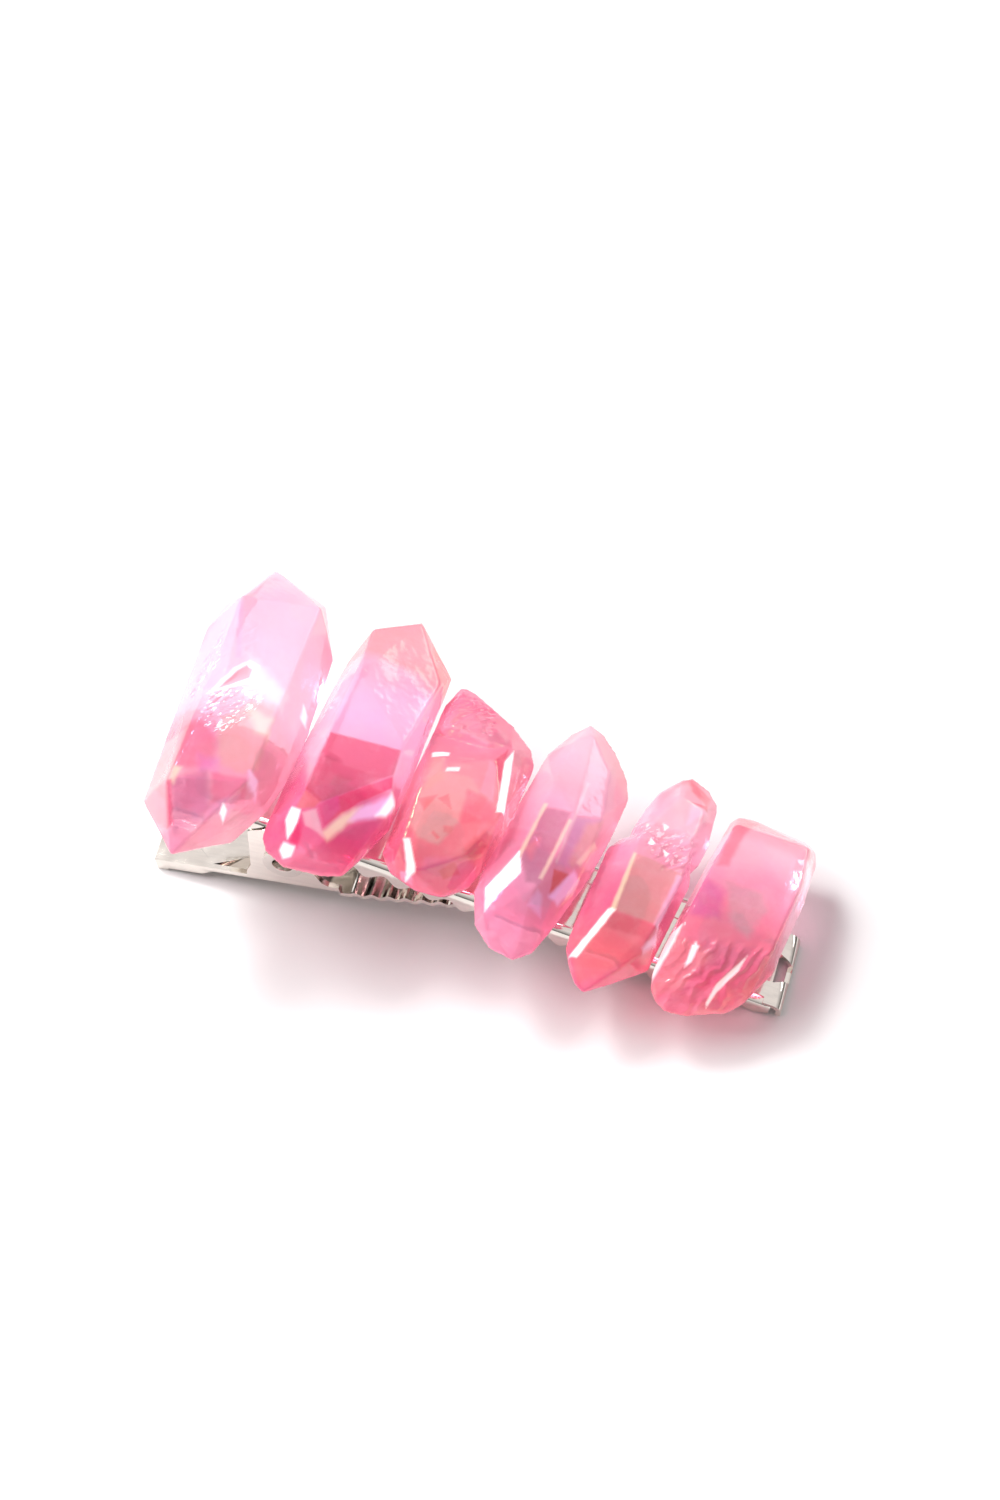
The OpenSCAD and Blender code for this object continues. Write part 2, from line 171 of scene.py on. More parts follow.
class Nodes:
    """A small wrapper that builds one material's node tree."""

    def __init__(self, name):
        self.material = bpy.data.materials.new(name)
        self.material.use_nodes = True
        self.tree = self.material.node_tree
        self.shader = self.tree.nodes["Principled BSDF"]
        self.object_coords = self.add("ShaderNodeTexCoord").outputs["Object"]

    def add(self, kind, **values):
        node = self.tree.nodes.new(kind)
        for key, value in values.items():
            setattr(node, key, value)
        return node

    def link(self, source, target):
        self.tree.links.new(source, target)

    def set(self, **values):
        for key, value in values.items():
            self.shader.inputs[key.replace("_", " ")].default_value = value

    def noise(self, scale, detail=3, rough=0.5, vector=None):
        node = self.add("ShaderNodeTexNoise")
        node.inputs["Scale"].default_value = scale
        node.inputs["Detail"].default_value = detail
        node.inputs["Roughness"].default_value = rough
        self.link(vector or self.object_coords, node.inputs["Vector"])
        return node.outputs["Fac"]

    def drawn_out(self, ratio, turn=0.0):
        """Coordinates that draw a pattern out along a line at this angle from X."""
        node = self.add("ShaderNodeMapping", vector_type="TEXTURE")
        node.inputs["Scale"].default_value = (ratio, 1, 1)
        node.inputs["Rotation"].default_value = (0, 0, turn)
        self.link(self.object_coords, node.inputs["Vector"])
        return node.outputs["Vector"]

    def ramp(self, source, stops):
        node = self.add("ShaderNodeValToRGB")
        elements = node.color_ramp.elements
        while len(elements) < len(stops):
            elements.new(0.5)
        for element, (place, colour) in zip(elements, stops):
            element.position = place
            element.color = (*colour, 1)
        self.link(source, node.inputs["Fac"])
        return node.outputs["Color"]

    def map(self, source, low, high, to_low=0.0, to_high=1.0):
        node = self.add("ShaderNodeMapRange")
        for name, value in (("From Min", low), ("From Max", high), ("To Min", to_low), ("To Max", to_high)):
            node.inputs[name].default_value = value
        self.link(source, node.inputs["Value"])
        return node.outputs["Result"]

    def mix(self, factor, a, b, mode="MIX"):
        node = self.add("ShaderNodeMix", data_type="RGBA", blend_type=mode)
        for value, socket in ((factor, 0), (a, 6), (b, 7)):        # the sockets of a colour mix
            if isinstance(value, bpy.types.NodeSocket):
                self.link(value, node.inputs[socket])
            elif socket == 0:
                node.inputs[0].default_value = value
            else:
                node.inputs[socket].default_value = (*value, 1)
        return node.outputs[2]

    def bump(self, height, strength, distance):
        node = self.add("ShaderNodeBump")
        node.inputs["Strength"].default_value = strength
        node.inputs["Distance"].default_value = distance
        self.link(height, node.inputs["Height"])
        self.link(node.outputs["Normal"], self.shader.inputs["Normal"])


# ---------------------------------------------------------------- materials

def nickel(name, tint, rough, grain):
    """Bright plated steel: cloudy tint, patchy gloss, fine drawn grain and small pits."""
    n = Nodes(name)
    n.set(Metallic=1.0)
    cloud = n.noise(240, 4)
    drawn = n.noise(2200, 2, vector=n.drawn_out(16))
    tinted = n.ramp(cloud, [(0.3, [c * 0.86 for c in tint]), (0.7, tint)])
    lines = n.ramp(drawn, [(0.35, (0.45, 0.42, 0.4)), (0.6, tint)])
    n.link(n.mix(0.12, tinted, lines), n.shader.inputs["Base Color"])
    n.link(n.map(n.noise(800, 5), 0.3, 0.7, rough * 0.5, rough * 1.7), n.shader.inputs["Roughness"])
    n.bump(n.mix(0.5, drawn, n.noise(5200, 2)), grain, 0.02 * MM)
    return n.material


PAINTED_GLOW = 0.1                          # share of the tint that a stone gives off as a painted glow, standing in for light scattered inside it
STREAK_TURN = math.radians(48)      # direction of the etched streaks, from X


def stone(name, film, seed):
    """Tinted, coated crystal. Its tint, glints and etched areas are painted on the mesh. The glints, the
    sparkles in the etched areas and a faint glow of the tint are painted light that the surface gives off.
    """
    n = Nodes(name)
    paint = n.add("ShaderNodeVertexColor", layer_name="tint")
    tint, glint = paint.outputs["Color"], paint.outputs["Alpha"]
    etched = n.add("ShaderNodeAttribute", attribute_name="etched").outputs["Fac"]
    cloud = n.noise(260 + 13 * seed, 5, 0.6)
    pearly = n.ramp(n.noise(330 + 9 * seed, 3), [
        (0.36, (1.0, 0.86, 0.72)), (0.5, (1.0, 0.72, 0.82)), (0.64, (0.86, 0.7, 1.0))])
    clouded = n.mix(n.map(cloud, 0.45, 0.75, 0.0, 0.2), tint, (1.0, 0.88, 0.94))
    n.link(n.mix(0.14, clouded, pearly, "MULTIPLY"), n.shader.inputs["Base Color"])
    # painted highlights: white sparkles in the etched areas and the painted glints, given off as light
    painted_sparkle = n.map(n.noise(3100, 2, 0.5, n.drawn_out(2.2, STREAK_TURN)), 0.56, 0.63)
    painted_glints = n.mix(n.mix(n.map(etched, 0.5, 0.9), (0, 0, 0), painted_sparkle), glint, (1, 1, 1), "ADD")
    painted_glow = n.mix(PAINTED_GLOW, (0, 0, 0), tint)
    # the emission is painted light: the painted highlights plus a painted glow of the tint
    n.link(n.mix(painted_glints, painted_glow, (0.85, 0.85, 0.85)), n.shader.inputs["Emission Color"])
    n.set(Transmission_Weight=0.6, IOR=1.45, Emission_Strength=1.0)
    n.set(Thin_Film_Thickness=film, Thin_Film_IOR=1.6)
    n.link(n.map(n.noise(900, 5), 0.4, 0.75, 0.03, 0.16), n.shader.inputs["Roughness"])
    polish = n.map(n.noise(3800, 2), 0, 1, 0.49, 0.51)
    streaks = n.noise(2600, 3, 0.6, n.drawn_out(3.2, STREAK_TURN))
    n.bump(n.mix(etched, polish, streaks), 1.0, 0.16 * MM)
    return n.material


def clear_glue():
    n = Nodes("glue_look")
    cloudy = n.ramp(n.noise(500, 4), [(0.35, (0.93, 0.84, 0.87)), (0.7, (1.0, 0.95, 0.96))])
    n.link(cloudy, n.shader.inputs["Base Color"])
    n.set(Transmission_Weight=0.8, IOR=1.47)
    n.link(n.map(n.noise(900, 3), 0.3, 0.7, 0.05, 0.3), n.shader.inputs["Roughness"])
    n.bump(n.noise(1500, 2), 0.2, 0.03 * MM)
    return n.material


# ---------------------------------------------------------------- crystals

# Corner points of each crystal's convex parts, in mm on the deck: (along, across, up).
CRYSTALS = {
    "crystal_1": [[
        (-11.5, 13, 8.3), (-4.6, 15, 7.6), (-5, 4, 9.1), (-5.4, -5, 8.4), (-11.9, -7, 8),
        (-10.6, 4.8, 9.1), (-9.6, 18.9, 5), (-7.6, 17.9, 5), (-4.3, 17, 5), (-2, 12.2, 4.6),
        (-1.8, 4, 4.4), (-2.1, -1, 3.8), (-3, -4.4, 3), (-9.5, -11.8, 3.6), (-13.4, -8, 4),
        (-13.5, 2, 4.5), (-13.6, 10.6, 4.8), (-12.8, 13.6, 5), (-10.9, 16.7, 5), (-11, -7, 0.5),
        (-5, -7, 0.5), (-10.8, 12, 0.3), (-5, 12, 0.3)]],
    "crystal_2": [[
        (0.7, 15.5, 6.5), (4.6, 18.2, 6), (8, 12.5, 6.4), (6.6, 4.2, 8), (6.5, 0.7, 7.8),
        (-0.4, -3.5, 7.8), (0, 2.7, 8.2), (0.6, 9.6, 8.2), (1.4, -4.5, 7), (2.8, -6.5, 5.6),
        (7.6, -1.5, 6.2), (-1, -5, 5.9), (-2.4, -7.2, 3.5), (-2.4, -5.8, 4), (-1.7, 3, 4.2),
        (-1, 9.4, 4.3), (-0.5, 12.5, 4.5), (8.8, 14.8, 4.2), (8.7, 12.8, 4), (8.4, 5.9, 4), (8.3, 2.6, 4),
        (7.9, -2.2, 3.6), (6.4, -5.6, 2.8), (5.3, -7.7, 2.8), (3.5, -8.4, 2.8), (0.1, -8.9, 3),
        (-1.7, -8.2, 3.3), (1, 17, 4.5), (4.6, 19.2, 4.5), (0, -5, 0.4), (5.6, -5, 0.4), (1, 12, 0.3),
        (6.8, 12, 0.3)]],
    "crystal_3": [[
        (9.3, 1.1, 7), (9.4, -4.1, 6.2), (11.2, -5.9, 5), (14.9, 6.2, 7.4), (16.8, 0.8, 7.4),
        (14.8, -3.6, 6.2), (16.8, -2.5, 5.2), (11.1, 4, 7.4), (16.2, 8.4, 6.4), (15.4, 12.4, 4.2),
        (17.9, 10.4, 4.2), (18.6, 8.9, 4.2), (18.4, 6.4, 4.2), (17.8, 1, 4.4), (17, -3.2, 3.6),
        (16.4, -4.6, 2.9), (14.3, -6.2, 2.6), (12, -6.6, 2.8), (9.4, -5.8, 3), (8.2, -4.4, 3.2),
        (8.5, 3.6, 3.8), (9, 9, 4), (10.4, -4.6, 0.4), (15, -4.6, 0.4), (10.6, 9, 0.3), (16, 9, 0.3)],
        [(10.1, 8.6, 6.5), (10.4, 13, 5), (10.1, 14.5, 4), (11.4, 14.4, 4), (13.2, 12.9, 4), (9.2, 12, 4),
         (9, 9, 4), (14, 8, 6.8), (11, 8, 0.5), (13, 10, 1), (14.8, 10.4, 5.2), (15.4, 12.3, 4.2),
         (15.8, 9, 6)]],
    "crystal_4": [[
        (21.6, 12.7, 5), (22.9, 13.4, 5.2), (20.7, 6.8, 6.1), (23.2, 3.9, 7.1), (22.9, -0.4, 7.2),
        (21.8, -4.5, 6.5), (19.6, -1.1, 6.3), (17.7, -5.2, 4.8), (19.5, -2.3, 6.1), (20.5, -3.5, 6.34),
        (19.1, -6.2, 5.2), (18.6, -7.6, 4.7), (20, -8.6, 4), (25.3, 10.3, 5.4), (25.7, 5.1, 6.2),
        (25.6, 1.1, 6.2), (24.4, -1.5, 5.8), (23.6, -4.8, 5), (22.4, 15.3, 4), (21.1, 13.9, 3.8),
        (19.6, 11, 3.8), (19, 7.8, 3.8), (18.4, 5, 3.7), (17.9, 1.3, 3.6), (17.3, -2, 3.5),
        (17.1, -5, 3.3), (18.1, -8, 3), (20, -9.6, 2.8), (22.2, -9.9, 2.7), (23.6, -8.6, 2.7),
        (24.5, -6.2, 2.8), (25.4, -3.4, 3.4), (26.4, 0, 3.6), (27.2, 4.6, 3.9), (27.7, 9.2, 4),
        (27.1, 11.1, 3.8), (25.4, 13.4, 3.8), (23.7, 14.8, 4), (19.4, -6, 0.4), (23, -6, 0.4),
        (20.4, 8, 0.3), (25.4, 8, 0.3)]],
    "crystal_5": [[
        (29.6, 3.4, 6.5), (29, -3.8, 6.8), (33.2, -4, 6.8), (34.2, 1.5, 6.6), (27, -8.2, 3.8),
        (32.7, -6.3, 5), (27.4, 3.9, 3.4), (27, -1, 3.3), (26.5, -5.9, 3.2), (26.5, -7.2, 3),
        (27.2, -8.6, 2.8), (28.2, -10, 2.6), (29.1, -10.5, 2.5), (34, -6.3, 2.6), (34.6, -2, 3.4),
        (35.3, 3, 3.6), (28.4, 5.4, 3.4), (34.4, 4.6, 6), (30.2, 5.2, 6), (28.4, -7, 0.5),
        (32.6, -5.5, 0.4), (28.8, 3.5, 0.3), (33.6, 3.5, 0.3)],
        [(29.1, 7, 3.4), (29.7, 9.3, 3.4), (30.5, 11.5, 3.4), (32, 13.3, 3.5), (32.9, 13.9, 3.5),
         (34.7, 13.2, 3.4), (35.8, 11.9, 3.5), (36, 7.5, 3.6), (35.6, 5.3, 3.6), (32.3, 10.7, 5),
         (34.6, 10, 5), (34.2, 4, 6), (30.9, 7.9, 5.2), (29.4, 4, 5.6), (30.5, 3, 0.4), (34, 3, 0.4),
         (31.4, 10, 0.8), (34.4, 10, 0.8), (28.8, 4, 3.3)]],
    "crystal_6": [[
        (37.7, 9.2, 6), (44.7, 9.4, 6), (44.7, 4.4, 6.6), (43.8, -2.8, 6.5), (39.3, -3.6, 6.8),
        (35.3, -4.5, 6), (36.1, 0.4, 6.6), (34.9, -7.6, 3.8), (40, -8.2, 3.4), (37.4, -8, 4.2),
        (43, -5, 4.6), (38.1, 11.6, 3.6), (39.4, 11.8, 3.6), (44.8, 11.4, 3.5), (45.7, 10.8, 3.4),
        (46, 9.6, 3.4), (45.9, 5.6, 3.2), (45.5, 2.4, 3.1), (44.8, -2.6, 3), (43.1, -6.3, 2.7),
        (41.9, -7.6, 2.5), (38.3, -9.2, 2.3), (36.6, -9.4, 2.3), (35.6, -8.8, 2.4), (34.9, -7.9, 2.6),
        (34.6, -6.5, 3), (34.8, -4.3, 3.3), (36.2, 3.7, 3.4), (36.8, 7.3, 3.4), (37.5, 10.8, 3.5),
        (36.4, -7, 0.5), (41.5, -6, 0.4), (44, -1, 0.3), (38.4, 10, 0.4), (44.2, 10, 0.4), (37, 2, 0.3)]],
}


def seen(r, g, b, glint=0.0):
    """The tint for a stone that shows this sRGB colour, and how much it glints.

    Light crosses the stone more than once, and its colour holds back green and blue much more than red.
    """
    red, green, blue = (((c / 255 + 0.055) / 1.055) ** 2.4 for c in (r, g, b))
    return red ** 0.3, green ** 0.82, blue ** 0.82, glint


BLUSH = seen(255, 222, 236)
LILAC = seen(250, 186, 228)
VIOLET = seen(212, 135, 228)
SALMON = seen(250, 165, 178)
CORAL = seen(246, 118, 136)
ROSE = seen(230, 84, 118)
RED = seen(240, 45, 92)
HOT = seen(255, 92, 152)
CANDY = seen(255, 150, 188)
MAUVE = seen(110, 108, 138)
BEIGE = seen(234, 174, 168)
CREAM = seen(255, 236, 205)
GREY_PINK = seen(218, 168, 176)
# painted glare: a pale patch on crystal_1's top where light shines off it, given off faintly as light
PAINTED_GLARE = seen(255, 240, 248, 0.12)
# painted highlights, white or tinted, that the stone gives off as light
GLINT = seen(255, 255, 255, 1.0)
GOLD_GLINT = seen(255, 228, 172, 0.2)
LILAC_GLINT = seen(238, 185, 255, 0.25)

# Along each crystal from its near end: (across, colour), then the coloured panes in its upper faces:
# [corners as (along, across), colour, edge softness in mm, strength].
# Some panes are painted light: the darker panels over the arm are partly painted reflection, the metal and
# its shade seen through the stone, and the panes with a glint share are painted highlights given off as
# light.
TINTS = {
    "crystal_1": [
        [(-12, CANDY), (-7, seen(251, 184, 198)), (-2, CANDY), (3, seen(254, 206, 226)),
         (9, seen(254, 197, 222)), (19, seen(253, 197, 220))],
        [[[(-9.4, 0), (-7, 3), (-5.2, 3.2), (-4.8, -3.4), (-6, -4.6), (-8.2, -4.4), (-9.2, -2)],
           BEIGE, 0.4, 0.85],
         [[(-12.1, -1.5), (-11, -0.8), (-9, -2.5), (-8.8, -4.8), (-11.9, -6.2)], seen(236, 106, 136),
           0.5, 0.85],
         [[(-10.2, -4.2), (-8.4, -4), (-8.2, -5.2), (-9.6, -5.8)], VIOLET, 0.6, 0.5],
         [[(-11.8, -6.9), (-9, -5.4), (-7.6, -8), (-9.8, -10.6), (-10.6, -10)], seen(150, 122, 160),
           0.5, 0.9],
         [[(-9.2, -8.4), (-8.2, -7.2), (-7.4, -8), (-8.6, -9.2)], seen(185, 150, 195), 0.5, 0.7],
         [[(-8.6, -5.4), (-5.4, -4.9), (-5, -5.8), (-7.5, -8)], seen(230, 112, 148), 0.3, 0.8],
         [[(-7.6, -7.6), (-5.6, -5.9), (-6, -7.2), (-8, -9)], LILAC, 0.3, 0.8],
         [[(-4.4, 1.5), (-1.8, 2), (-2.4, -4.6), (-4.6, -4.8)], seen(252, 178, 194), 0.8, 0.85],
         [[(-7.6, 1.8), (-5.2, 1.4), (-5, -0.4), (-6.2, -0.4)], CREAM, 0.5, 0.8],
         [[(-9, 7), (-4.8, 4.4), (-4.8, 2.8), (-8.4, 3)], PAINTED_GLARE, 0.8, 0.9],
         [[(-8.9, 6.5), (-9.9, 5.1), (-11.3, 2), (-9.4, 3.2), (-7.8, 4.4), (-7.9, 6.2)], GLINT, 0.15, 0.7],
         [[(-9, 6), (-9.6, 5), (-10.7, 2.5), (-9.4, 3.7), (-8.3, 4.8), (-8.3, 5.8)], seen(250, 180, 195),
           0.12, 1],
         [[(-11.8, 12.6), (-11.3, 12.5), (-9.7, 6.4), (-10.2, 6.2)], LILAC, 0.2, 0.7],
         [[(-5.5, -4.1), (-4.5, -4.1), (-4.2, -4.9), (-5.2, -5.1)], LILAC_GLINT, 0.25, 1],
         [[(-11.9, -5.9), (-11.2, -5.9), (-11.4, -7.4), (-12, -7.3)], GOLD_GLINT, 0.25, 0.9],
         [[(-13.8, -2), (-12.3, -2), (-12, -7), (-10.7, -10.2), (-11.4, -11.2), (-13.6, -8)],
          seen(254, 205, 218), 0.4, 0.9],
         [[(-12.1, -7.3), (-11.7, -7.2), (-10.2, -10), (-10.6, -10.2)], seen(190, 70, 110), 0.15, 0.8],
         [[(-3, 5.5), (-2.4, 5.1), (-2.2, 4.1), (-2.8, 4.3)], GLINT, 0.25, 0.6],
         [[(-6.7, -7.2), (-6.2, -7.2), (-6.2, -7.7), (-6.7, -7.7)], GLINT, 0.15, 0.8]]],
    "crystal_2": [
        [(-9, seen(253, 138, 176)), (-6, HOT), (-3, HOT), (0, CANDY), (5, LILAC), (11, LILAC), (13, SALMON),
         (19, seen(252, 165, 178))],
        [[[(-0.3, -3), (-1.8, 3), (-1, 12), (0.6, 12), (0, 3)], BLUSH, 0.3, 0.7],
         # partly painted reflection: the arm and its shade seen through the stone
         [[(0.1, 2.7), (6.6, 3.5), (6.7, 0.9), (3, -2.5), (1.4, -3.9), (-0.3, -3.4)], seen(170, 76, 106),
           0.12, 1],
         [[(3, -2.5), (6.7, 0.8), (7, -0.1), (4.6, -2.5), (2.4, -5.5), (1.3, -4.3)], RED, 0.12, 1],
         [[(1.3, -4.2), (2.6, -2.8), (3.2, -3.7), (2.4, -5.5)], seen(255, 55, 132), 0.15, 0.9],
         [[(2.3, -6.1), (3.6, -4), (5, -2.6), (4.6, -4), (3.1, -6.5)], GOLD_GLINT, 0.3, 1],
         [[(4.8, -2.8), (7.2, -0.6), (7.4, -1.6), (6.4, -2.9), (4.2, -4.3)], seen(230, 148, 255, 0.3),
           0.3, 1],
         [[(7.1, -0.4), (7.8, -1.1), (7.3, -2.3), (6.4, -2.7), (6.9, -1.4)], GLINT, 0.25, 0.8],
         [[(-0.3, -3.5), (1.3, -3.9), (1, -4.6), (-0.5, -5)], seen(240, 98, 104), 0.12, 1],
         [[(-0.3, -3.2), (1.4, -3.7), (1.3, -3.95), (-0.3, -3.45)], seen(170, 60, 80), 0.1, 0.8],
         [[(0.1, -5.1), (1.2, -4.6), (2.7, -6.3), (0.8, -5.9)], seen(252, 175, 195, 0.15), 0.15, 0.9],
         [[(0, -5.4), (0.6, -6), (0.8, -7.5), (-0.1, -7.3)], seen(245, 45, 110), 0.2, 0.9],
         [[(-0.9, -4.9), (-0.1, -5), (0, -5.9), (-0.3, -7.1), (-1, -5.9)], GLINT, 0.15, 1],
         [[(-0.5, -7.4), (0.5, -7.5), (0.5, -8.2), (-0.1, -8.5), (-0.6, -8)], GLINT, 0.2, 1]]],
    "crystal_3": [
        [(-7, HOT), (-4, seen(252, 100, 138)), (2, seen(248, 142, 162)), (9, seen(252, 148, 180)),
         (13, seen(255, 122, 166))],
        [[[(11, 3.5), (13.5, 3.5), (15, 2), (13.5, 0.5), (13.5, -1), (12.5, -3.5), (10.5, -3.5), (9.5, -2.5),
           (9.5, 0.5)], GREY_PINK, 0.3, 0.95],
         [[(9.5, 5.5), (10.5, 5), (11, 2.6), (9.6, 0.6)], BEIGE, 0.4, 0.8],
         [[(13.4, 2.3), (14.7, 2.3), (16.4, 1.3), (16.4, 0), (13.7, -1)], seen(232, 95, 132), 0.3, 0.85],
         [[(11.1, 0.6), (11.9, 1.3), (12.6, 0)], CORAL, 0.1, 0.9],
         [[(9.4, 0), (11, 0.9), (10.3, -0.9)], CORAL, 0.15, 0.9],
         [[(12.4, -1.7), (13.2, -1.5), (13.4, -2.2), (12.6, -2.2)], CORAL, 0.15, 0.8],
         [[(11.6, -2.4), (12.4, -2.8), (12.3, -3.1), (11.6, -2.7)], CORAL, 0.1, 0.9],
         [[(14.7, -3.1), (15.4, -1.6), (16.9, -1.6), (15.8, -3.5)], seen(215, 72, 110), 0.25, 0.8],
         [[(11.8, -4.8), (16, -3.4), (17.2, -4), (14.6, -6.3), (11.8, -6.5)], seen(255, 112, 170), 0.25, 0.8],
         [[(13.3, -5.2), (14.4, -4.2), (15.3, -4.5), (14, -5.4)], seen(218, 78, 118), 0.1, 0.9],
         [[(15.8, 8.4), (14.9, 6.2), (15.4, 5), (16.2, 3.8), (15.8, 6.4)], ROSE, 0.1, 0.9],
         [[(14.5, 6), (15.3, 5.6), (15.9, 2), (14.5, 2.5)], seen(248, 162, 196), 0.15, 0.85],
         [[(16.3, 8.5), (17.2, 1.6), (16.5, 1.1), (15.8, 6.6)], GLINT, 0.12, 1],
         [[(9.4, 5.9), (10.8, 6), (10.8, 5.5), (9.5, 5.3)], GLINT, 0.12, 0.9],
         [[(11, 3.8), (12.1, 4.2), (12.1, 3.8), (11, 3.4)], GLINT, 0.12, 0.7],
         [[(9.4, -4), (9.9, -3.8), (11.4, -6), (10.9, -6.3)], GLINT, 0.15, 0.9]]],
    "crystal_4": [
        [(-10, CANDY), (-5, CANDY), (0, seen(248, 146, 184)), (6, seen(253, 182, 208)),
         (11, seen(253, 198, 216)), (16, seen(253, 190, 212))],
        [[[(20.5, 4), (23, 4), (22.6, -0.5), (22, -4), (21, -4), (20, -2), (19.8, 0)], MAUVE, 0.25, 0.95],
         [[(19.6, -0.8), (20.9, 0.4), (20.8, -1.8)], CORAL, 0.4, 0.7],
         [[(17.8, -5.2), (19.6, -1.2), (20.3, -3.3), (19, -5.7), (18.4, -7.4)], GLINT, 0.12, 0.75],
         [[(23.5, 3.6), (26, 5), (26, 2), (24.6, -1), (23.1, -1.5)], seen(150, 150, 205), 0.3, 0.8],
         [[(24.6, 3.6), (26, 4.8), (26, 2), (24.6, -1), (24, -0.8)], BEIGE, 0.4, 0.8],
         [[(26, 3), (27.2, 5), (26, -1), (25, -3.4), (25, 0)], seen(251, 152, 176), 0.4, 0.8],
         [[(23, -2), (24.6, -1.5), (23.4, -4.2)], seen(196, 88, 88), 0.12, 0.95],
         [[(23.4, -4.2), (24.8, -1), (25.6, -1.2), (25.4, -2.4), (24.4, -4.2)], seen(220, 150, 250, 0.2),
           0.25, 1],
         [[(22.2, -4.4), (22.7, -4.4), (23.3, -6), (21.8, -5.8)], seen(240, 165, 240, 0.1), 0.25, 0.8],
         [[(20.4, 4.4), (20.7, 4.4), (19.8, -2), (19.5, -2)], GOLD_GLINT, 0.15, 0.8],
         [[(22.9, 3.2), (23.2, 3.1), (22.3, -3.4), (22, -3.4)], GOLD_GLINT, 0.15, 0.8],
         [[(25.8, 2.3), (26.2, 2.2), (25.2, -0.4), (24.8, -0.3)], GOLD_GLINT, 0.2, 0.6],
         [[(23.5, 8), (23.8, 8), (23.1, -1.4), (22.9, -1.4)], BLUSH, 0.15, 0.7]]],
    "crystal_5": [
        [(-11, HOT), (-7, CORAL), (-3, seen(238, 105, 150)), (3, CANDY), (8, seen(253, 190, 214)),
         (12, seen(252, 190, 206)), (14, seen(248, 138, 152))],
        # partly painted reflection: the arm and its shade seen through the stone
        [[[(29.5, 2.5), (31.5, 2.4), (34, 2), (33.1, -4), (29, -4)], seen(170, 142, 150), 0.15, 0.95],
         [[(29, -4), (33.1, -4), (33, -5.2), (29, -5.4)], seen(198, 78, 112), 0.25, 0.95],
         [[(29, -5.5), (32.6, -6), (31, -8), (28.4, -10.2), (27.4, -8.6)], seen(248, 100, 132), 0.4, 0.9],
         [[(29.4, 2.6), (29.7, 2.5), (29.3, -4), (28.9, -4)], GOLD_GLINT, 0.15, 0.9],
         [[(33.8, 1.8), (34.3, 1.8), (33.5, -4), (33, -4)], LILAC_GLINT, 0.2, 0.6],
         [[(28.7, -3.9), (29.3, -3.9), (27.5, -8.2), (26.9, -8.2)], GLINT, 0.15, 1],
         [[(32.7, -5.9), (33.7, -4.2), (34, -4.6), (33, -6.1)], LILAC_GLINT, 0.2, 0.7],
         [[(32.6, 13.5), (35, 12.2), (34.8, 10.8), (33.1, 12)], CORAL, 0.25, 0.9],
         [[(33.4, 7.8), (34.9, 10), (33.3, 10.4)], LILAC_GLINT, 0.3, 0.4],
         [[(33.1, 10.5), (34.8, 10.9), (34.9, 10.3)], CORAL, 0.12, 0.9],
         [[(31.3, 7.1), (31.9, 6.9), (31.6, 6.4)], GLINT, 0.12, 0.9],
         [[(30.5, 4.7), (31, 4.6), (30.9, 4), (30.5, 4.1)], GLINT, 0.12, 0.9],
         [[(32, 4), (32.5, 3.8), (32.3, 3.3)], GLINT, 0.12, 0.9]]],
    "crystal_6": [
        [(-10, seen(253, 128, 158)), (-6, seen(246, 112, 146)), (-2, seen(242, 118, 152)), (3, CANDY),
         (8, seen(252, 198, 222)), (12, seen(252, 184, 200))],
        [[[(38.3, 2.8), (41.7, 3), (42.4, 1.3), (41.4, -2.1), (39.5, -1.1)], seen(140, 154, 172), 0.5, 0.85],
         [[(36.5, 2.6), (38.3, 1.8), (38.5, -1.2), (35.8, -1.6), (35.6, 0.5)], seen(170, 90, 162), 0.5, 0.9],
         [[(37.4, 11.5), (39.7, 11), (38.6, 8.2), (38, 4.6), (37, 4.3), (36.9, 8.5)], seen(246, 110, 142),
           0.3, 0.85],
         [[(37.1, 8.8), (36.5, 6), (36.9, 5.6), (37.5, 8.4)], LILAC, 0.2, 0.8],
         [[(44.7, 10), (46.2, 10), (45.8, -2), (44.7, -2)], BLUSH, 0.3, 0.8],
         [[(44.9, 8), (45.6, 9.6), (45.8, 7), (45.5, 5)], GLINT, 0.4, 0.25],
         [[(35, -3.9), (37.4, -4.1), (38.8, -4.8), (37.4, -7.9), (35, -8.4)], seen(250, 136, 148), 0.4, 0.9],
         [[(37.9, -6), (40.2, -4.4), (40.3, -6.3), (37.4, -8.2)], seen(214, 85, 132), 0.3, 0.8],
         [[(43.9, -2.9), (44.8, -3.4), (43.4, -6), (42.3, -6)], seen(240, 85, 126), 0.3, 0.8],
         [[(41.9, -3.5), (41.6, -4.9), (40.4, -6.9), (40, -8.3), (39.8, -8), (40.1, -6.5), (41.2, -4.7)],
          seen(255, 240, 225, 0.6), 0.1, 0.9],
         [[(36.9, -4.3), (37.5, -4.3), (37.3, -5.6), (36.9, -6.2)], seen(240, 235, 255, 0.8), 0.12, 1],
         [[(35, -2.6), (35.5, -2.6), (35, -6), (34.6, -7.6), (34.2, -6)], GLINT, 0.2, 0.9]]],
}
